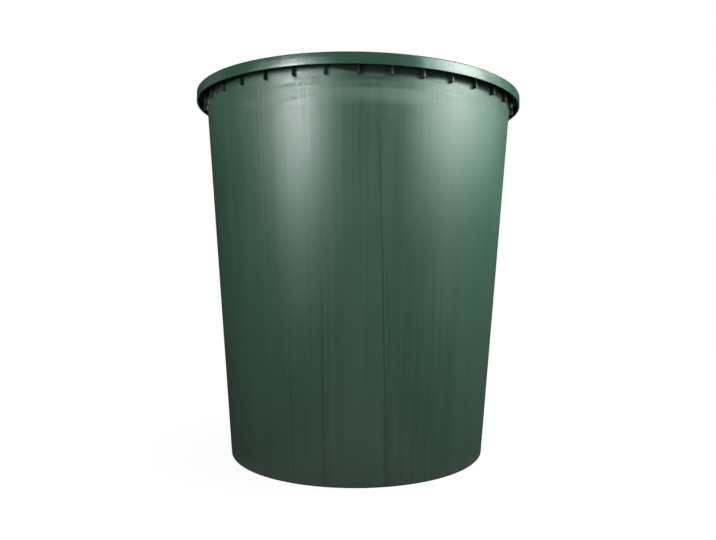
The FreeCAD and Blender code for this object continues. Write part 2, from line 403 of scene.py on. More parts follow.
class PlasticLook(bpy.types.PropertyGroup):
    """Colours and gloss of the two mouldings."""

    barrel_green: FloatVectorProperty(
        name="Barrel green", description="Plastic of the barrel", subtype="COLOR",
        default=(0.0208, 0.0488, 0.0330), min=0.0, max=1.0)
    # Paler grey of the worn band below the rim, partly a painted sheen of the highlights.
    scuff_and_sheen_grey: FloatVectorProperty(
        name="Scuffs and sheen", description="Worn plastic below the rim", subtype="COLOR",
        default=(0.15, 0.20, 0.18), min=0.0, max=1.0)
    # Greyer green towards the ground: a painted reflection of the floor.
    floor_reflection_green: FloatVectorProperty(
        name="Floor reflection green", description="Plastic of the barrel near the ground", subtype="COLOR",
        default=(0.0290, 0.0478, 0.0368), min=0.0, max=1.0)
    lid_green: FloatVectorProperty(
        name="Lid green", description="Plastic of the lid", subtype="COLOR",
        default=(0.0195, 0.0465, 0.0328), min=0.0, max=1.0)
    barrel_roughness: FloatProperty(
        name="Barrel roughness", description="Satin of the barrel", default=0.36, min=0.0, max=1.0)
    lid_roughness: FloatProperty(
        name="Lid roughness", description="Gloss of the lid", default=0.215, min=0.0, max=1.0)


class StudioLook(bpy.types.PropertyGroup):
    """Camera and lamps."""

    focal_pixels: FloatProperty(
        name="Focal length", description="Focal length in pixels of the photograph", default=623.7)
    camera_distance: FloatProperty(
        name="Distance", description="Camera to the barrel's axis", default=1.606, unit="LENGTH")
    camera_height: FloatProperty(
        name="Height", description="Camera above the ground", default=0.466, unit="LENGTH")
    camera_aside: FloatProperty(
        name="Aside", description="Camera to the right of the axis", default=0.0613, unit="LENGTH")
    camera_turn: FloatProperty(
        name="Turn", description="Turn of the camera round the barrel",
        default=math.radians(-1.84), subtype="ANGLE")
    camera_pitch: FloatProperty(
        name="Pitch", description="Camera tilted up", default=math.radians(-1.351), subtype="ANGLE")
    camera_yaw: FloatProperty(
        name="Yaw", description="Camera turned left", default=math.radians(-0.166), subtype="ANGLE")
    camera_roll: FloatProperty(
        name="Roll", description="Camera rolled", default=math.radians(0.436), subtype="ANGLE")
    middle_right: FloatProperty(
        name="Lens axis right", description="Lens axis right of the picture's middle, in pixels",
        default=22.4)
    middle_down: FloatProperty(
        name="Lens axis down", description="Lens axis below the picture's middle, in pixels",
        default=10.2)
    lamp_level: FloatProperty(name="Lamps", description="Level of all lamps", default=1.0, min=0.0)
    room_strength: FloatProperty(
        name="Room", description="Light of the room on all sides", default=0.008, min=0.0)


PROPERTY_GROUPS = (
    ("barrel_sizes", BarrelSizes),
    ("barrel_ribs", RibSizes),
    ("barrel_lid", LidSizes),
    ("barrel_plastic", PlasticLook),
    ("barrel_studio", StudioLook),
)


def rounded_outline(corners):
    """Outline of (radius, height) points from corners (radius, height, rounding)."""
    outline = []
    count = len(corners)
    for index, (radius, height, rounding) in enumerate(corners):
        here = Vector((radius, height))
        if rounding == 0.0 or index in (0, count - 1):
            outline.append(here)
            continue
        before = (Vector(corners[index - 1][:2]) - here).normalized()
        after = (Vector(corners[index + 1][:2]) - here).normalized()
        half_angle = before.angle(after) / 2
        reach = rounding / math.tan(half_angle)
        centre = here + (before + after).normalized() * rounding / math.sin(half_angle)
        start = here + before * reach - centre
        end = here + after * reach - centre
        turn = start.angle_signed(end)
        for step in range(ARC_STEPS + 1):
            bent = start.copy()
            bent.rotate(Matrix.Rotation(-turn * step / ARC_STEPS, 2))
            outline.append(centre + bent)
    return outline


def split_long_runs(outline):
    """Outline with extra points so that no straight run is too long."""
    points = [outline[0]]
    for start, end in zip(outline, outline[1:]):
        pieces = max(1, math.ceil((end - start).length / LONGEST_RUN))
        for piece in range(1, pieces + 1):
            points.append(start.lerp(end, piece / pieces))
    return points


def turned_mesh(name, outline, steps):
    """Closed mesh of an outline turned about the upright axis; its ends lie on the axis."""
    mesh_maker = bmesh.new()
    first_pole = mesh_maker.verts.new((0.0, 0.0, outline[0].y))
    last_pole = mesh_maker.verts.new((0.0, 0.0, outline[-1].y))
    rings = []
    for point in outline[1:-1]:
        ring = []
        for step in range(steps):
            turn = 2 * math.pi * step / steps
            ring.append(mesh_maker.verts.new((point.x * math.cos(turn), point.x * math.sin(turn), point.y)))
        rings.append(ring)
    for step in range(steps):
        following = (step + 1) % steps
        mesh_maker.faces.new((first_pole, rings[0][step], rings[0][following]))
        for low, high in zip(rings, rings[1:]):
            mesh_maker.faces.new((low[step], high[step], high[following], low[following]))
        mesh_maker.faces.new((last_pole, rings[-1][following], rings[-1][step]))
    bmesh.ops.recalc_face_normals(mesh_maker, faces=mesh_maker.faces)
    mesh = bpy.data.meshes.new(name)
    mesh_maker.to_mesh(mesh)
    mesh_maker.free()
    mesh.shade_smooth()
    mesh.set_sharp_from_angle(angle=SHARP_ANGLE)
    return mesh


def wall_taper(sizes):
    """Radius of the wall's outside at the ground, and its gain per metre of height."""
    gain = (sizes.top_radius - sizes.seam_radius) / (sizes.wall_height - sizes.seam_height)
    return sizes.seam_radius - gain * sizes.seam_height, gain


def place_piece(name, mesh, body, nodes):
    """Object for a finished mesh that stands for nodes of the frame."""
    piece = bpy.data.objects.new(name, mesh)
    bpy.context.scene.collection.objects.link(piece)
    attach(piece, body)
    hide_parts(*nodes)


def add_node(tree, kind, **settings):
    """Node of a tree, with its settings made."""
    node = tree.nodes.new(kind)
    for setting, value in settings.items():
        setattr(node, setting, value)
    return node


def math_node(tree, operation, first, second=None, clamp=False):
    """Math node fed by sockets or numbers; returns its output."""
    node = add_node(tree, "ShaderNodeMath", operation=operation, use_clamp=clamp)
    for socket, value in zip(node.inputs, (first, second)):
        feed(tree, socket, value)
    return node.outputs[0]


def feed(tree, socket, value):
    """Link a socket to another, or set its own value."""
    if value is None:
        return
    if isinstance(value, bpy.types.NodeSocket):
        tree.links.new(value, socket)
    else:
        socket.default_value = value


def new_group(name, inputs, outputs):
    """Empty shader node group with named sockets, and its two ends."""
    group = bpy.data.node_groups.new(name, "ShaderNodeTree")
    for label, kind, default in inputs:
        socket = group.interface.new_socket(name=label, in_out="INPUT", socket_type=kind)
        if default is not None:
            socket.default_value = default
    for label, kind in outputs:
        group.interface.new_socket(name=label, in_out="OUTPUT", socket_type=kind)
    return group, group.nodes.new("NodeGroupInput"), group.nodes.new("NodeGroupOutput")


def place_group(tree, group, **values):
    """Copy of a shader node group in a tree, with its inputs fed by name."""
    node = tree.nodes.new("ShaderNodeGroup")
    node.node_tree = group
    for name, value in values.items():
        feed(tree, node.inputs[name], value)
    return node


def round_the_axis_group():
    """Splits a place on a moulding into its direction and turn round the axis, height and radius."""
    group, start, end = new_group(
        "Round the axis",
        (("Place", "NodeSocketVector", None),),
        (
            ("Direction", "NodeSocketVector"),
            ("Turn", "NodeSocketFloat"),
            ("Height", "NodeSocketFloat"),
            ("Radius", "NodeSocketFloat"),
        ),
    )
    split = add_node(group, "ShaderNodeSeparateXYZ")
    feed(group, split.inputs[0], start.outputs["Place"])
    level = add_node(group, "ShaderNodeCombineXYZ")
    feed(group, level.inputs["X"], split.outputs["X"])
    feed(group, level.inputs["Y"], split.outputs["Y"])
    direction = add_node(group, "ShaderNodeVectorMath", operation="NORMALIZE")
    feed(group, direction.inputs[0], level.outputs[0])
    radius = add_node(group, "ShaderNodeVectorMath", operation="LENGTH")
    feed(group, radius.inputs[0], level.outputs[0])
    towards_front = math_node(group, "MULTIPLY", split.outputs["Y"], -1.0)
    turn = math_node(group, "ARCTAN2", split.outputs["X"], towards_front)
    feed(group, end.inputs["Direction"], direction.outputs["Vector"])
    feed(group, end.inputs["Turn"], turn)
    feed(group, end.inputs["Height"], split.outputs["Z"])
    feed(group, end.inputs["Radius"], radius.outputs["Value"])
    return group


def flow_streaks_group():
    """Streaks that follow the flow of the plastic: up the wall or round it."""
    group, start, end = new_group(
        "Flow streaks",
        (
            ("Direction", "NodeSocketVector", None),
            ("Along", "NodeSocketFloat", 0.0),
            ("Fineness", "NodeSocketFloat", 20.0),
            ("Stretch", "NodeSocketFloat", 1.0),
            ("Detail", "NodeSocketFloat", 3.0),
        ),
        (("Streak", "NodeSocketFloat"),),
    )
    spread = add_node(group, "ShaderNodeVectorMath", operation="SCALE")
    feed(group, spread.inputs[0], start.outputs["Direction"])
    feed(group, spread.inputs["Scale"], start.outputs["Fineness"])
    rise = math_node(group, "MULTIPLY", start.outputs["Along"], start.outputs["Stretch"])
    lift = add_node(group, "ShaderNodeCombineXYZ")
    feed(group, lift.inputs["Z"], rise)
    place = add_node(group, "ShaderNodeVectorMath", operation="ADD")
    feed(group, place.inputs[0], spread.outputs["Vector"])
    feed(group, place.inputs[1], lift.outputs[0])
    noise = add_node(group, "ShaderNodeTexNoise", noise_dimensions="3D")
    feed(group, noise.inputs["Vector"], place.outputs["Vector"])
    feed(group, noise.inputs["Detail"], start.outputs["Detail"])
    noise.inputs["Scale"].default_value = 1.0
    noise.inputs["Roughness"].default_value = STREAK_ROUGHNESS
    feed(group, end.inputs["Streak"], math_node(group, "SUBTRACT", noise.outputs["Fac"], NOISE_MIDDLE))
    return group


def long_mark_group():
    """One long mark with soft sides and soft ends, from the places across it and along it."""
    group, start, end = new_group(
        "Long mark",
        (
            ("Across", "NodeSocketFloat", 0.0),
            ("Along", "NodeSocketFloat", 0.0),
            ("At", "NodeSocketFloat", 0.0),
            ("Slant", "NodeSocketFloat", 0.0),
            ("Width", "NodeSocketFloat", 0.01),
            ("Low", "NodeSocketFloat", 0.0),
            ("High", "NodeSocketFloat", 1.0),
            ("End", "NodeSocketFloat", 0.05),
        ),
        (("Mark", "NodeSocketFloat"),),
    )
    along, low, high, soft = (start.outputs[name] for name in ("Along", "Low", "High", "End"))
    drift = math_node(group, "MULTIPLY", start.outputs["Slant"], along)
    middle = math_node(group, "ADD", start.outputs["At"], drift)
    aside = math_node(group, "ABSOLUTE", math_node(group, "SUBTRACT", start.outputs["Across"], middle))
    across = ramp(group, aside, start.outputs["Width"], 0.0)
    above = ramp(group, along, math_node(group, "SUBTRACT", low, soft), math_node(group, "ADD", low, soft))
    below = ramp(group, along, math_node(group, "ADD", high, soft), math_node(group, "SUBTRACT", high, soft))
    inside = math_node(group, "MULTIPLY", above, below)
    feed(group, end.inputs["Mark"], math_node(group, "MULTIPLY", across, inside))
    return group


def ramp(tree, value, none_at, full_at):
    """Smooth rise of a value from 0 to 1 between two others."""
    node = add_node(tree, "ShaderNodeMapRange", interpolation_type="SMOOTHSTEP")
    feed(tree, node.inputs["Value"], value)
    feed(tree, node.inputs["From Min"], none_at)
    feed(tree, node.inputs["From Max"], full_at)
    return node.outputs["Result"]


def ramp_near(tree, value, place, offsets):
    """Smooth rise of a value from 0 to 1 between two distances from a place."""
    none_off, full_off = offsets
    return ramp(tree, value, place + none_off, place + full_off)


def product(tree, first, *others):
    """Product of sockets or numbers."""
    for other in others:
        first = math_node(tree, "MULTIPLY", first, other)
    return first


def straight_line(tree, value, slope, start):
    """Value times a slope, plus a start."""
    return math_node(tree, "ADD", product(tree, value, slope), start)


def what_is_left(tree, share):
    """What is left of 1 after a share."""
    return math_node(tree, "SUBTRACT", 1.0, share)


def weighted_sum(tree, effects, weights):
    """Sum of effects by name, each times its own weight."""
    total = None
    for name, weight in weights.items():
        part = product(tree, effects[name], weight)
        total = part if total is None else math_node(tree, "ADD", total, part)
    return total


def shaded(colour, factor=1.0):
    """Colour made darker or lighter, with full opacity."""
    return tuple(channel * factor for channel in colour) + (1.0,)


def blended(tree, first, second, share):
    """Mix of two colours by a share."""
    mix = add_node(tree, "ShaderNodeMix", data_type="RGBA")
    feed(tree, mix.inputs[MIX_SHARE], share)
    feed(tree, mix.inputs[MIX_FIRST], first)
    feed(tree, mix.inputs[MIX_SECOND], second)
    return mix.outputs[MIX_RESULT]


def tinted(tree, colour, tone):
    """Colour times 1 plus the tone, from half of the colour to one and a half."""
    share = math_node(tree, "ADD", tone, 0.5, clamp=True)
    return blended(tree, shaded(colour, 0.5), shaded(colour, 1.5), share)


class PlasticTree:
    """Node tree of a plastic, with the places and effects that both plastics use."""

    def __init__(self, name):
        self.material = bpy.data.materials.new(name)
        self.material.use_nodes = True
        self.tree = self.material.node_tree
        self.tree.nodes.clear()
        self.shader = add_node(self.tree, "ShaderNodeBsdfPrincipled")
        output = add_node(self.tree, "ShaderNodeOutputMaterial")
        feed(self.tree, output.inputs["Surface"], self.shader.outputs[0])
        coordinates = add_node(self.tree, "ShaderNodeTexCoord")
        self.place = coordinates.outputs["Object"]
        self.round = place_group(
            self.tree, shared_group("Round the axis", round_the_axis_group), Place=self.place)

    def streaks(self, along, fineness, stretch, detail):
        """Flow streaks along a value of the surface."""
        node = place_group(
            self.tree, shared_group("Flow streaks", flow_streaks_group),
            Direction=self.round.outputs["Direction"], Along=along,
            Fineness=fineness, Stretch=stretch, Detail=detail)
        return node.outputs["Streak"]

    def clouds(self, scale, detail):
        """Even mottling of about the same size all over."""
        noise = add_node(self.tree, "ShaderNodeTexNoise", noise_dimensions="3D")
        feed(self.tree, noise.inputs["Vector"], self.place)
        noise.inputs["Scale"].default_value = scale
        noise.inputs["Detail"].default_value = detail
        return math_node(self.tree, "SUBTRACT", noise.outputs["Fac"], NOISE_MIDDLE)

    def marks(self, rows, across, along, soft_end):
        """Strongest of long marks: rows of place, slant, half width, first and last end, strength."""
        strongest = None
        for at, slant, width, low, high, strength in rows:
            node = place_group(
                self.tree, shared_group("Long mark", long_mark_group), Across=across, Along=along,
                At=at, Slant=slant, Width=width, Low=low, High=high, End=soft_end)
            mark = math_node(self.tree, "MULTIPLY", node.outputs["Mark"], strength)
            strongest = mark if strongest is None else math_node(self.tree, "MAXIMUM", strongest, mark)
        return strongest

    def finish(self, colour, roughness, roughness_change, relief):
        """Feed the shader: colour, roughness and relief of the skin."""
        feed(self.tree, self.shader.inputs["Base Color"], colour)
        rough = math_node(self.tree, "ADD", roughness_change, roughness, clamp=True)
        feed(self.tree, self.shader.inputs["Roughness"], rough)
        self.shader.inputs["IOR"].default_value = PLASTIC_IOR
        self.shader.inputs["Anisotropic"].default_value = PLASTIC_ANISOTROPY
        bump = add_node(self.tree, "ShaderNodeBump")
        bump.inputs["Distance"].default_value = RELIEF_DEPTH
        feed(self.tree, bump.inputs["Height"], relief)
        feed(self.tree, self.shader.inputs["Normal"], bump.outputs["Normal"])
        return self.material


def shared_group(name, maker):
    """Shader node group by name, made on first use."""
    return bpy.data.node_groups.get(name) or maker()


def upright_rows(rows):
    """Rows of lines up the wall, with their turns in radians."""
    return [
        (math.radians(at), math.radians(slant), math.radians(width), low, high, strength)
        for at, slant, width, low, high, strength in rows
    ]


def level_rows(rows):
    """Rows of marks round the wall, with their turns in radians."""
    return [
        (at, rise, width, math.radians(first), math.radians(last), strength)
        for at, rise, width, first, last, strength in rows
    ]


def scuffs_and_sheen_below_rim(plastic, patches):
    """Worn, paler band round the wall below the rim, whole near the front and in patches elsewhere; its grey
    is partly a painted sheen of the highlights spreading across it.
    """
    tree = plastic.tree
    height = plastic.round.outputs["Height"]
    band = product(tree, ramp(tree, height, *SCUFF_AND_SHEEN_LOWER), ramp(tree, height, *SCUFF_AND_SHEEN_UPPER))
    aside = math_node(tree, "SUBTRACT", plastic.round.outputs["Turn"], SCUFF_AND_SHEEN_TURN)
    near_front = ramp(tree, math_node(tree, "ABSOLUTE", aside), *SCUFF_AND_SHEEN_ASIDE)
    elsewhere = product(tree, ramp(tree, patches, *SCUFF_AND_SHEEN_PATCHES), SCUFF_AND_SHEEN_PATCH_SHARE)
    share = product(tree, math_node(tree, "MAXIMUM", near_front, elsewhere), SCUFF_AND_SHEEN_SHARE)
    return product(tree, band, share)


def shade_under_rim(plastic, sizes, ribs):
    """Painted shade on the ribs, and in the corner between the wall and the rim, where the rim shades the
    wall.
    """
    tree = plastic.tree
    height = plastic.round.outputs["Height"]
    radius = plastic.round.outputs["Radius"]
    ground_radius, gain = wall_taper(sizes)
    stand_off = math_node(tree, "SUBTRACT", radius, straight_line(tree, height, gain, ground_radius))
    heading = add_node(tree, "ShaderNodeSeparateXYZ")
    feed(tree, heading.inputs[0], plastic.round.outputs["Direction"])
    rightward = heading.outputs["X"]
    long_shade = ramp(tree, rightward, *LONG_SHADE_SIDE)
    sides = {
        "short_left": what_is_left(tree, long_shade),
        "short_right_band": product(tree, ramp(tree, rightward, *SHORT_BAND_FROM), ramp(tree, rightward, *SHORT_BAND_TO)),
    }
    rib_faces = math_node(
        tree, "MAXIMUM", ramp_near(tree, radius, ribs.end_radius, BEHIND_RIB_ENDS),
        ramp(tree, rightward, *SHADED_ENDS_SIDE))
    on_ribs = product(tree, ramp(tree, stand_off, *ON_RIBS), rib_faces)
    lift = weighted_sum(tree, sides, SHADE_LIFT)
    begins_at = math_node(tree, "ADD", lift, ribs.bottom - SHADE_BELOW_RIBS)
    full_at = math_node(tree, "ADD", begins_at, straight_line(tree, long_shade, LONG_SHADE_FADE, SHADE_FADE))
    in_corner = product(
        tree, ramp(tree, height, begins_at, full_at), ramp(tree, stand_off, *AT_WALL))
    outside = product(
        tree, ramp(tree, stand_off, *OUTER_SKIN), ramp_near(tree, height, sizes.wall_height, UNDER_FLANGE))
    return product(tree, math_node(tree, "MAXIMUM", on_ribs, in_corner), outside)


def make_barrel_plastic(look):
    """Satin green plastic with draw lines and flow streaks up the wall, painted shade under the rim, on the
    ribs and near the ground, and a painted reflection of the floor near the ground.
    """
    plastic = PlasticTree("barrel_plastic_satin")
    tree = plastic.tree
    scene = bpy.context.scene
    height = plastic.round.outputs["Height"]
    turn = plastic.round.outputs["Turn"]
    effects = {name: plastic.streaks(height, *kind) for name, kind in BARREL_STREAKS.items()}
    effects["smudges"] = product(tree, effects["rings"], ramp(tree, height, *NEAR_RIM))
    effects["clouds"] = plastic.clouds(*BARREL_CLOUDS)
    effects["grain"] = plastic.clouds(*GRAIN)
    effects["lines"] = plastic.marks(upright_rows(MOULD_LINES), turn, height, LINE_END)
    # Smoother lines, painted a little lighter as well: a painted highlight.
    effects["shines"] = plastic.marks(upright_rows(SHINE_LINES), turn, height, SHINE_END)
    rubs = plastic.marks(level_rows(RUB_MARKS), height, turn, RUB_END)
    effects["rubs"] = product(tree, rubs, ramp(tree, effects["rub_patches"], *RUB_PATCHES))
    effects["scuffs_and_sheen"] = scuffs_and_sheen_below_rim(plastic, effects["scuff_and_sheen_patches"])
    # Painted shade on the ribs and in the corner under the rim, where the rim shades the wall.
    effects["rim_shade"] = shade_under_rim(plastic, scene.barrel_sizes, scene.barrel_ribs)
    # Painted shade: the wall darker towards the ground.
    effects["foot"] = ramp(tree, height, *LOW_SHADE_BAND)
    # Painted shade along the foot's lower edge.
    effects["sole_shade"] = product(tree, ramp(tree, height, *SOLE_SHADE_BAND), SOLE_SHADE_SHARE)
    # Painted reflection of the floor: a greyer green towards the ground.
    floor_reflection = product(tree, ramp(tree, height, *FLOOR_REFLECTION_BAND), FLOOR_REFLECTION_SHARE)
    painted_shade = math_node(tree, "MAXIMUM", effects["rim_shade"], effects["sole_shade"])
    tone = weighted_sum(tree, effects, BARREL_TONE)
    rough = weighted_sum(tree, effects, BARREL_ROUGH)
    relief = weighted_sum(tree, effects, BARREL_RELIEF)
    clean = tinted(tree, look.barrel_green, tone)
    with_floor_reflection = blended(tree, clean, tinted(tree, look.floor_reflection_green, tone), floor_reflection)
    # Worn band below the rim, its paler grey partly a painted sheen.
    worn_with_sheen = blended(tree, with_floor_reflection, shaded(look.scuff_and_sheen_grey), effects["scuffs_and_sheen"])
    # The painted shade darkens the green under the rim, on the ribs and along the foot.
    colour = blended(tree, worn_with_sheen, shaded(look.barrel_green, BARREL_PAINTED_SHADE), painted_shade)
    return plastic.finish(colour, look.barrel_roughness, rough, relief)


def make_lid_plastic(look):
    """Glossier green plastic with fine lines round the lid, a duller top, and painted shade along its upper
    outer edge and inside.
    """
    plastic = PlasticTree("lid_plastic_gloss")
    tree = plastic.tree
    sizes = bpy.context.scene.barrel_lid
    height = plastic.round.outputs["Height"]
    radius = plastic.round.outputs["Radius"]
    along = math_node(tree, "ADD", height, radius)
    off_middle = ramp(tree, radius, *OFF_MIDDLE)
    effects = {
        name: product(tree, plastic.streaks(along, *kind), off_middle)
        for name, kind in LID_STREAKS.items()
    }
    effects["clouds"] = plastic.clouds(*LID_CLOUDS)
    effects["grain"] = plastic.clouds(*GRAIN)
    # Painted shade: a thin dark line along the lid's upper outer edge.
    effects["edge"] = product(
        tree, ramp_near(tree, height, sizes.seat, EDGE_SHADE_HEIGHTS),
        ramp_near(tree, radius, sizes.edge_radius, EDGE_SHADE_RADII))
    # Painted shade: the inside of the lid darker.
    effects["inside"] = product(
        tree, ramp_near(tree, height, sizes.seat, INSIDE_SHADE_HEIGHTS),
        ramp_near(tree, radius, sizes.edge_radius, INSIDE_SHADE_RADII))
    effects["dull"] = ramp_near(tree, radius, sizes.edge_radius, DULL_RADII)
    lively = product(
        tree, what_is_left(tree, product(tree, effects["dull"], DULL_CALM)),
        what_is_left(tree, effects["inside"]))
    effects["gloss"] = product(tree, weighted_sum(tree, effects, LID_GLOSS), lively)
    tone = weighted_sum(tree, effects, LID_TONE)
    rough = weighted_sum(tree, effects, LID_ROUGH)
    relief = product(tree, weighted_sum(tree, effects, LID_RELIEF), lively)
    # Painted shade on the lid's edge and inside.
    painted_shade = weighted_sum(tree, effects, LID_PAINTED_SHADE_WEIGHTS)
    clean = tinted(tree, look.lid_green, tone)
    colour = blended(tree, clean, shaded(look.lid_green, LID_PAINTED_SHADE), painted_shade)
    return plastic.finish(colour, look.lid_roughness, rough, relief)


def get_material(name, maker):
    """Material by name, made on first use."""
    found = bpy.data.materials.get(name)
    return found or maker(bpy.context.scene.barrel_plastic)


class MakeBarrelShell(bpy.types.Operator):
    """Turn the barrel's wall, base and rim as one moulding"""

    bl_idname = "rain_barrel.make_shell"
    bl_label = "Barrel Shell"

    def execute(self, context):
        sizes = context.scene.barrel_sizes
        ground_radius, gain = wall_taper(sizes)
        foot_inside = ground_radius - sizes.foot_width
        slope_inside = foot_inside - sizes.floor_slope_run
        floor_top = sizes.floor_rise + sizes.floor_thickness
        inner_low = ground_radius + gain * sizes.floor_thickness - sizes.wall_thickness
        mouth = sizes.top_radius - sizes.wall_thickness
        lip_inside = sizes.rim_radius - sizes.lip_thickness
        edge = sizes.edge_rounding
        soft = sizes.foot_rounding
        corners = (
            (0.0, sizes.floor_rise, 0.0),
            (slope_inside, sizes.floor_rise, soft),
            (foot_inside, 0.0, soft),
            (ground_radius, 0.0, soft),
            (sizes.top_radius, sizes.wall_height, edge),
            (lip_inside, sizes.wall_height, edge),
            (lip_inside, sizes.lip_end, edge),
            (sizes.rim_radius, sizes.lip_end, edge),
            (sizes.rim_radius, sizes.rim_top, edge),
            (mouth, sizes.rim_top, edge),
            (inner_low, sizes.floor_thickness, soft),
            (foot_inside, sizes.floor_thickness, soft),
            (slope_inside, floor_top, soft),
            (0.0, floor_top, 0.0),
        )
        outline = split_long_runs(rounded_outline(corners))
        mesh = turned_mesh("barrel_shell", outline, sizes.turn_steps)
        mesh.materials.append(get_material("barrel_plastic_satin", make_barrel_plastic))
        place_piece("barrel_shell", mesh, "barrel", WALL_NODES + ("base", "rim"))
        return {"FINISHED"}


def rib_plate(sizes, ribs):
    """One rib on the right of the axis, pointing along +X, with a flared root."""
    ground_radius, gain = wall_taper(sizes)
    half = ribs.thickness / 2
    end_half = ribs.end_thickness / 2
    edge = ribs.rounding * RIB_EDGE_SHARE
    flare = ribs.root_flare
    mesh_maker = bmesh.new()
    loops = []
    levels = (
        (ribs.bottom, ribs.rounding, 2 * edge),
        (ribs.bottom + edge, ribs.rounding * RIB_CORNER_SHARE, edge),
        (ribs.bottom + ribs.rounding, 0.0, 0.0),
        (sizes.wall_height, 0.0, 0.0),
    )
    for height, end_inset, side_inset in levels:
        wall = ground_radius + gain * height
        end = ribs.end_radius - end_inset
        thick = half - side_inset
        thin = end_half - side_inset
        side = (
            (wall - RIB_SUNK, thick + flare / 2),
            (wall + flare * FLARE_ALONG, thick + flare * FLARE_ACROSS),
            (wall + flare, thick),
            (end - edge, thin),
            (end, thin - edge),
        )
        loop = [mesh_maker.verts.new((radius, across, height)) for radius, across in side]
        loop += [mesh_maker.verts.new((radius, -across, height)) for radius, across in reversed(side)]
        loops.append(loop)
    for low, high in zip(loops, loops[1:]):
        for index in range(len(low)):
            following = (index + 1) % len(low)
            mesh_maker.faces.new((low[index], low[following], high[following], high[index]))
    mesh_maker.faces.new(loops[0])
    mesh_maker.faces.new(loops[-1])
    bmesh.ops.recalc_face_normals(mesh_maker, faces=mesh_maker.faces)
    mesh = bpy.data.meshes.new("rib_plate")
    mesh_maker.to_mesh(mesh)
    mesh_maker.free()
    return mesh


def rib_row_tree():
    """Geometry node tree that repeats one rib evenly round the axis."""
    tree = bpy.data.node_groups.new("Rib row", "GeometryNodeTree")
    interface = tree.interface
    interface.new_socket(name="Geometry", in_out="OUTPUT", socket_type="NodeSocketGeometry")
    interface.new_socket(name="Rib", in_out="INPUT", socket_type="NodeSocketObject")
    interface.new_socket(name="Count", in_out="INPUT", socket_type="NodeSocketInt")
    interface.new_socket(name="Plastic", in_out="INPUT", socket_type="NodeSocketMaterial")
    start = tree.nodes.new("NodeGroupInput")
    end = tree.nodes.new("NodeGroupOutput")
    points = add_node(tree, "GeometryNodePoints")
    feed(tree, points.inputs["Count"], start.outputs["Count"])
    rib = add_node(tree, "GeometryNodeObjectInfo", transform_space="ORIGINAL")
    feed(tree, rib.inputs["Object"], start.outputs["Rib"])
    index = add_node(tree, "GeometryNodeInputIndex")
    share = math_node(tree, "DIVIDE", index.outputs[0], start.outputs["Count"])
    turn = math_node(tree, "MULTIPLY", share, 2 * math.pi)
    angles = add_node(tree, "ShaderNodeCombineXYZ")
    feed(tree, angles.inputs["Z"], turn)
    rotation = add_node(tree, "FunctionNodeEulerToRotation")
    feed(tree, rotation.inputs[0], angles.outputs[0])
    row = add_node(tree, "GeometryNodeInstanceOnPoints")
    feed(tree, row.inputs["Points"], points.outputs[0])
    feed(tree, row.inputs["Instance"], rib.outputs["Geometry"])
    feed(tree, row.inputs["Rotation"], rotation.outputs[0])
    realized = add_node(tree, "GeometryNodeRealizeInstances")
    feed(tree, realized.inputs[0], row.outputs[0])
    painted = add_node(tree, "GeometryNodeSetMaterial")
    feed(tree, painted.inputs["Geometry"], realized.outputs[0])
    feed(tree, painted.inputs["Material"], start.outputs["Plastic"])
    feed(tree, end.inputs[0], painted.outputs[0])
    return tree


def mesh_from_tree(name, tree, values):
    """Plain mesh that a geometry node tree makes from its named inputs."""
    host = bpy.data.objects.new(name, bpy.data.meshes.new(name))
    bpy.context.scene.collection.objects.link(host)
    modifier = host.modifiers.new("tree", "NODES")
    modifier.node_group = tree
    identifiers = {
        item.name: item.identifier for item in tree.interface.items_tree if item.in_out == "INPUT"
    }
    for label, value in values.items():
        modifier[identifiers[label]] = value
    evaluated = host.evaluated_get(bpy.context.evaluated_depsgraph_get())
    mesh = bpy.data.meshes.new_from_object(evaluated)
    mesh.name = name
    host.modifiers.remove(modifier)
    bpy.data.objects.remove(host)
    return mesh


class MakeRimRibs(bpy.types.Operator):
    """Set the thin ribs evenly round the barrel below its rim"""

    bl_idname = "rain_barrel.make_ribs"
    bl_label = "Rim Ribs"

    def execute(self, context):
        scene = context.scene
        pattern = bpy.data.objects.new("rib_plate", rib_plate(scene.barrel_sizes, scene.barrel_ribs))
        values = {
            "Rib": pattern,
            "Count": scene.barrel_ribs.count,
            "Plastic": get_material("barrel_plastic_satin", make_barrel_plastic),
        }
        mesh = mesh_from_tree("rim_ribs", rib_row_tree(), values)
        bpy.data.objects.remove(pattern)
        place_piece("rim_ribs", mesh, "barrel", RIB_NODES)
        return {"FINISHED"}


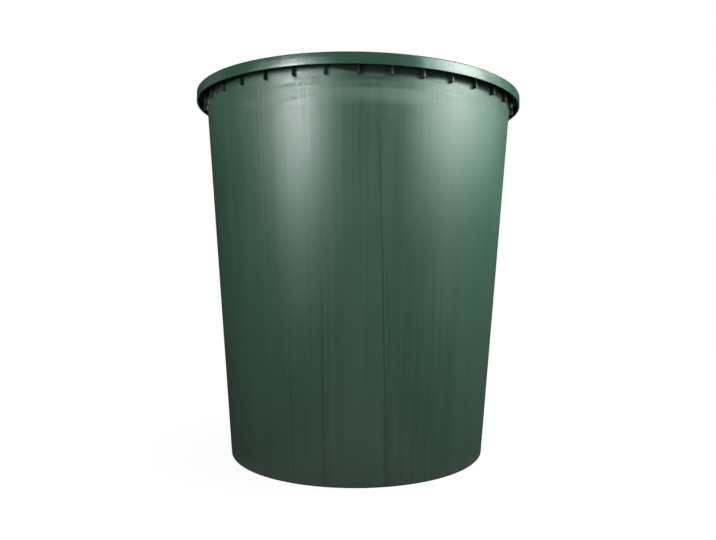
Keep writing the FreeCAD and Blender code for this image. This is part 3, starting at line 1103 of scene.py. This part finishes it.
class MakeLid(bpy.types.Operator):
    """Turn the lid's cover, skirt and centring ring as one moulding"""

    bl_idname = "rain_barrel.make_lid"
    bl_label = "Lid"

    def execute(self, context):
        sizes = context.scene.barrel_lid
        steps = context.scene.barrel_sizes.turn_steps
        top = sizes.seat + sizes.thickness
        step_outside = sizes.edge_radius - sizes.step_inset
        step_inside = step_outside - sizes.step_run
        step_top = top + sizes.step_rise
        ring_inside = sizes.ring_radius - sizes.thickness
        skirt_top_inside = sizes.edge_radius - sizes.thickness
        skirt_low_inside = sizes.skirt_radius - sizes.thickness
        edge = sizes.edge_rounding
        soft = sizes.soft_rounding
        thin_edge = sizes.thickness * THIN_EDGE_SHARE
        corners = (
            (0.0, sizes.crown, 0.0),
            (sizes.crown_radius, sizes.crown, soft),
            (step_inside, step_top, soft),
            (step_outside, top, soft),
            (sizes.edge_radius, top, edge),
            (sizes.skirt_radius, sizes.skirt_bottom, thin_edge),
            (skirt_low_inside, sizes.skirt_bottom, thin_edge),
            (skirt_top_inside, sizes.seat, thin_edge),
            (sizes.ring_radius, sizes.seat, thin_edge),
            (sizes.ring_radius, sizes.ring_bottom, thin_edge),
            (ring_inside, sizes.ring_bottom, thin_edge),
            (ring_inside, sizes.seat, thin_edge),
            (step_outside, sizes.seat, soft),
            (step_inside, step_top - sizes.thickness, soft),
            (sizes.crown_radius, sizes.crown - sizes.thickness, soft),
            (0.0, sizes.crown - sizes.thickness, 0.0),
        )
        outline = split_long_runs(rounded_outline(corners))
        mesh = turned_mesh("lid", outline, steps)
        mesh.materials.append(get_material("lid_plastic_gloss", make_lid_plastic))
        place_piece("lid", mesh, "lid", LID_NODES)
        return {"FINISHED"}


def seen_by(tree, plain, eye, shine):
    """Shader that shows one face to the eye, one to mirrored rays and a plain one to the rest."""
    path = add_node(tree, "ShaderNodeLightPath")
    through = math_node(tree, "MAXIMUM", path.outputs["Is Camera Ray"], path.outputs["Is Transmission Ray"])
    mirrored = add_node(tree, "ShaderNodeMixShader")
    feed(tree, mirrored.inputs["Fac"], path.outputs["Is Glossy Ray"])
    feed(tree, mirrored.inputs[1], plain)
    feed(tree, mirrored.inputs[2], shine)
    seen = add_node(tree, "ShaderNodeMixShader")
    feed(tree, seen.inputs["Fac"], through)
    feed(tree, seen.inputs[1], mirrored.outputs[0])
    feed(tree, seen.inputs[2], eye)
    return seen.outputs[0]


def make_room(strength):
    """White room: white to the eye, dim to the barrel so that the lamps shape it."""
    world = bpy.data.worlds.new("white_room")
    bpy.context.scene.world = world
    world.use_nodes = True
    tree = world.node_tree
    tree.nodes.clear()
    faces = []
    for level in (strength, ROOM_WHITE, strength * ROOM_SHINE_GAIN):
        face = add_node(tree, "ShaderNodeBackground")
        face.inputs["Color"].default_value = shaded(WHITE_LIGHT)
        face.inputs["Strength"].default_value = level
        faces.append(face.outputs[0])
    output = add_node(tree, "ShaderNodeOutputWorld")
    feed(tree, output.inputs["Surface"], seen_by(tree, *faces))


def make_floor():
    """Pale floor: white to the eye with the barrel's shadow, a pale strip front to back for its shine."""
    mesh = bpy.data.meshes.new("floor")
    corners = [(x * FLOOR_REACH, y * FLOOR_REACH, 0.0) for x, y in ((-1, -1), (1, -1), (1, 1), (-1, 1))]
    mesh.from_pydata(corners, [], [range(len(corners))])
    floor = bpy.data.objects.new("floor", mesh)
    bpy.context.scene.collection.objects.link(floor)
    material = bpy.data.materials.new("pale_floor")
    material.use_nodes = True
    tree = material.node_tree
    tree.nodes.clear()
    place = add_node(tree, "ShaderNodeTexCoord").outputs["Object"]
    distance = add_node(tree, "ShaderNodeVectorMath", operation="LENGTH")
    feed(tree, distance.inputs[0], place)
    split = add_node(tree, "ShaderNodeSeparateXYZ")
    feed(tree, split.inputs[0], place)
    plain = add_node(tree, "ShaderNodeBsdfDiffuse")
    plain.inputs["Color"].default_value = shaded(FLOOR_GREY)
    glow = add_node(tree, "ShaderNodeEmission")
    far = ramp(tree, distance.outputs["Value"], *FAR_FLOOR)
    feed(tree, glow.inputs["Strength"], straight_line(tree, far, FAR_WHITE_GAIN, FLOOR_WHITE))
    white = add_node(tree, "ShaderNodeAddShader")
    feed(tree, white.inputs[0], plain.outputs[0])
    feed(tree, white.inputs[1], glow.outputs[0])
    shine = add_node(tree, "ShaderNodeEmission")
    strip = ramp(tree, math_node(tree, "ABSOLUTE", split.outputs["X"]), *STRIP_ASIDE)
    feed(tree, shine.inputs["Strength"], straight_line(tree, strip, STRIP_SHINE_GAIN, FLOOR_SHINE))
    output = add_node(tree, "ShaderNodeOutputMaterial")
    surface = seen_by(tree, plain.outputs[0], white.outputs[0], shine.outputs[0])
    feed(tree, output.inputs["Surface"], surface)
    mesh.materials.append(material)


def soften_face(data, low_fade, high_fade):
    """Fades a lamp's face out towards its sides, its lower edge and its upper edge."""
    data.use_nodes = True
    tree = data.node_tree
    face = add_node(tree, "ShaderNodeNewGeometry")
    split = add_node(tree, "ShaderNodeSeparateXYZ")
    feed(tree, split.inputs[0], face.outputs["Parametric"])
    aside = math_node(tree, "SUBTRACT", split.outputs["X"], FACE_MIDDLE)
    across = ramp(tree, math_node(tree, "ABSOLUTE", aside), *FACE_SIDES)
    rise = ramp(tree, split.outputs["Y"], 0.0, low_fade)
    fall = ramp(tree, split.outputs["Y"], 1.0, 1.0 - high_fade)
    share = product(tree, across, product(tree, rise, fall))
    emission = tree.nodes["Emission"]
    tint = blended(tree, shaded(EDGE_LIGHT), shaded(WHITE_LIGHT), share)
    feed(tree, emission.inputs["Color"], tint)
    feed(tree, emission.inputs["Strength"], share)


def make_lamp(kind, level):
    """Large soft lamp that faces the barrel's axis level, unseen by the camera."""
    data = bpy.data.lights.new(kind.name, "AREA")
    data.energy = kind.power * level
    data.color = kind.colour
    data.shape = "RECTANGLE"
    data.size = kind.width
    data.size_y = kind.high - kind.low
    soften_face(data, kind.low_fade, kind.high_fade)
    place = round_place(kind.turn, kind.distance, (kind.low + kind.high) / 2)
    inwards = Vector((-place[0], -place[1], 0.0))
    lamp = bpy.data.objects.new(kind.name, data)
    lamp.location = place
    lamp.rotation_euler = inwards.to_track_quat("-Z", "Y").to_euler()
    lamp.visible_glossy = kind.mirrored
    lamp.visible_camera = False
    bpy.context.scene.collection.objects.link(lamp)


def round_place(turn_deg, distance, height):
    """Place at a turn from the front towards the right, at a distance from the axis."""
    turn = math.radians(turn_deg)
    return (distance * math.sin(turn), -distance * math.cos(turn), height)


def make_camera(studio):
    """Camera at the photograph's viewpoint."""
    data = bpy.data.cameras.new("camera")
    data.sensor_fit = "HORIZONTAL"
    data.sensor_width = SENSOR_WIDTH
    data.lens = SENSOR_WIDTH * studio.focal_pixels / PHOTO_WIDTH
    data.shift_x = -studio.middle_right / PHOTO_WIDTH
    data.shift_y = studio.middle_down / PHOTO_WIDTH
    data.clip_end = CAMERA_REACH
    camera = bpy.data.objects.new("camera", data)
    yaw = studio.camera_yaw
    pitch = studio.camera_pitch
    roll = studio.camera_roll
    right = Vector((math.cos(yaw), -math.sin(yaw), 0.0))
    ahead = Vector((math.sin(yaw), math.cos(yaw), 0.0))
    upright = Vector((0.0, 0.0, 1.0))
    forward = ahead * math.cos(pitch) + upright * math.sin(pitch)
    upward = upright * math.cos(pitch) - ahead * math.sin(pitch)
    rolled_right = right * math.cos(roll) + upward * math.sin(roll)
    rolled_up = upward * math.cos(roll) - right * math.sin(roll)
    axes = Matrix((rolled_right, rolled_up, -forward)).transposed().to_4x4()
    place = Matrix.Translation((studio.camera_aside, -studio.camera_distance, studio.camera_height))
    camera.matrix_world = Matrix.Rotation(studio.camera_turn, 4, "Z") @ place @ axes
    bpy.context.scene.collection.objects.link(camera)
    bpy.context.scene.camera = camera


class MakeStudio(bpy.types.Operator):
    """Set up the pale floor, the white room, the lamps and the camera"""

    bl_idname = "rain_barrel.make_studio"
    bl_label = "Studio"

    def execute(self, context):
        studio = context.scene.barrel_studio
        context.scene.view_settings.view_transform = "Standard"
        make_room(studio.room_strength)
        make_floor()
        for row in STUDIO_LAMPS:
            make_lamp(Lamp(*row), studio.lamp_level)
        make_camera(studio)
        return {"FINISHED"}


class RainBarrelPanel(bpy.types.Panel):
    """Panel that lists the barrel's pieces"""

    bl_idname = "VIEW3D_PT_rain_barrel"
    bl_label = "Rain Barrel"
    bl_space_type = "VIEW_3D"
    bl_region_type = "UI"
    bl_category = "Rain Barrel"

    def draw(self, context):
        for operator in OPERATORS:
            self.layout.operator(operator.bl_idname)


OPERATORS = (MakeBarrelShell, MakeRimRibs, MakeLid, MakeStudio)


def register():
    for name, group in PROPERTY_GROUPS:
        bpy.utils.register_class(group)
        setattr(bpy.types.Scene, name, PointerProperty(type=group))
    for operator in OPERATORS:
        bpy.utils.register_class(operator)
    bpy.utils.register_class(RainBarrelPanel)


def unregister():
    bpy.utils.unregister_class(RainBarrelPanel)
    for operator in reversed(OPERATORS):
        bpy.utils.unregister_class(operator)
    for name, group in reversed(PROPERTY_GROUPS):
        delattr(bpy.types.Scene, name)
        bpy.utils.unregister_class(group)


def main():
    register()
    bpy.ops.rain_barrel.make_shell()
    bpy.ops.rain_barrel.make_ribs()
    bpy.ops.rain_barrel.make_lid()
    bpy.ops.rain_barrel.make_studio()


if __name__ == "__main__":
    main()
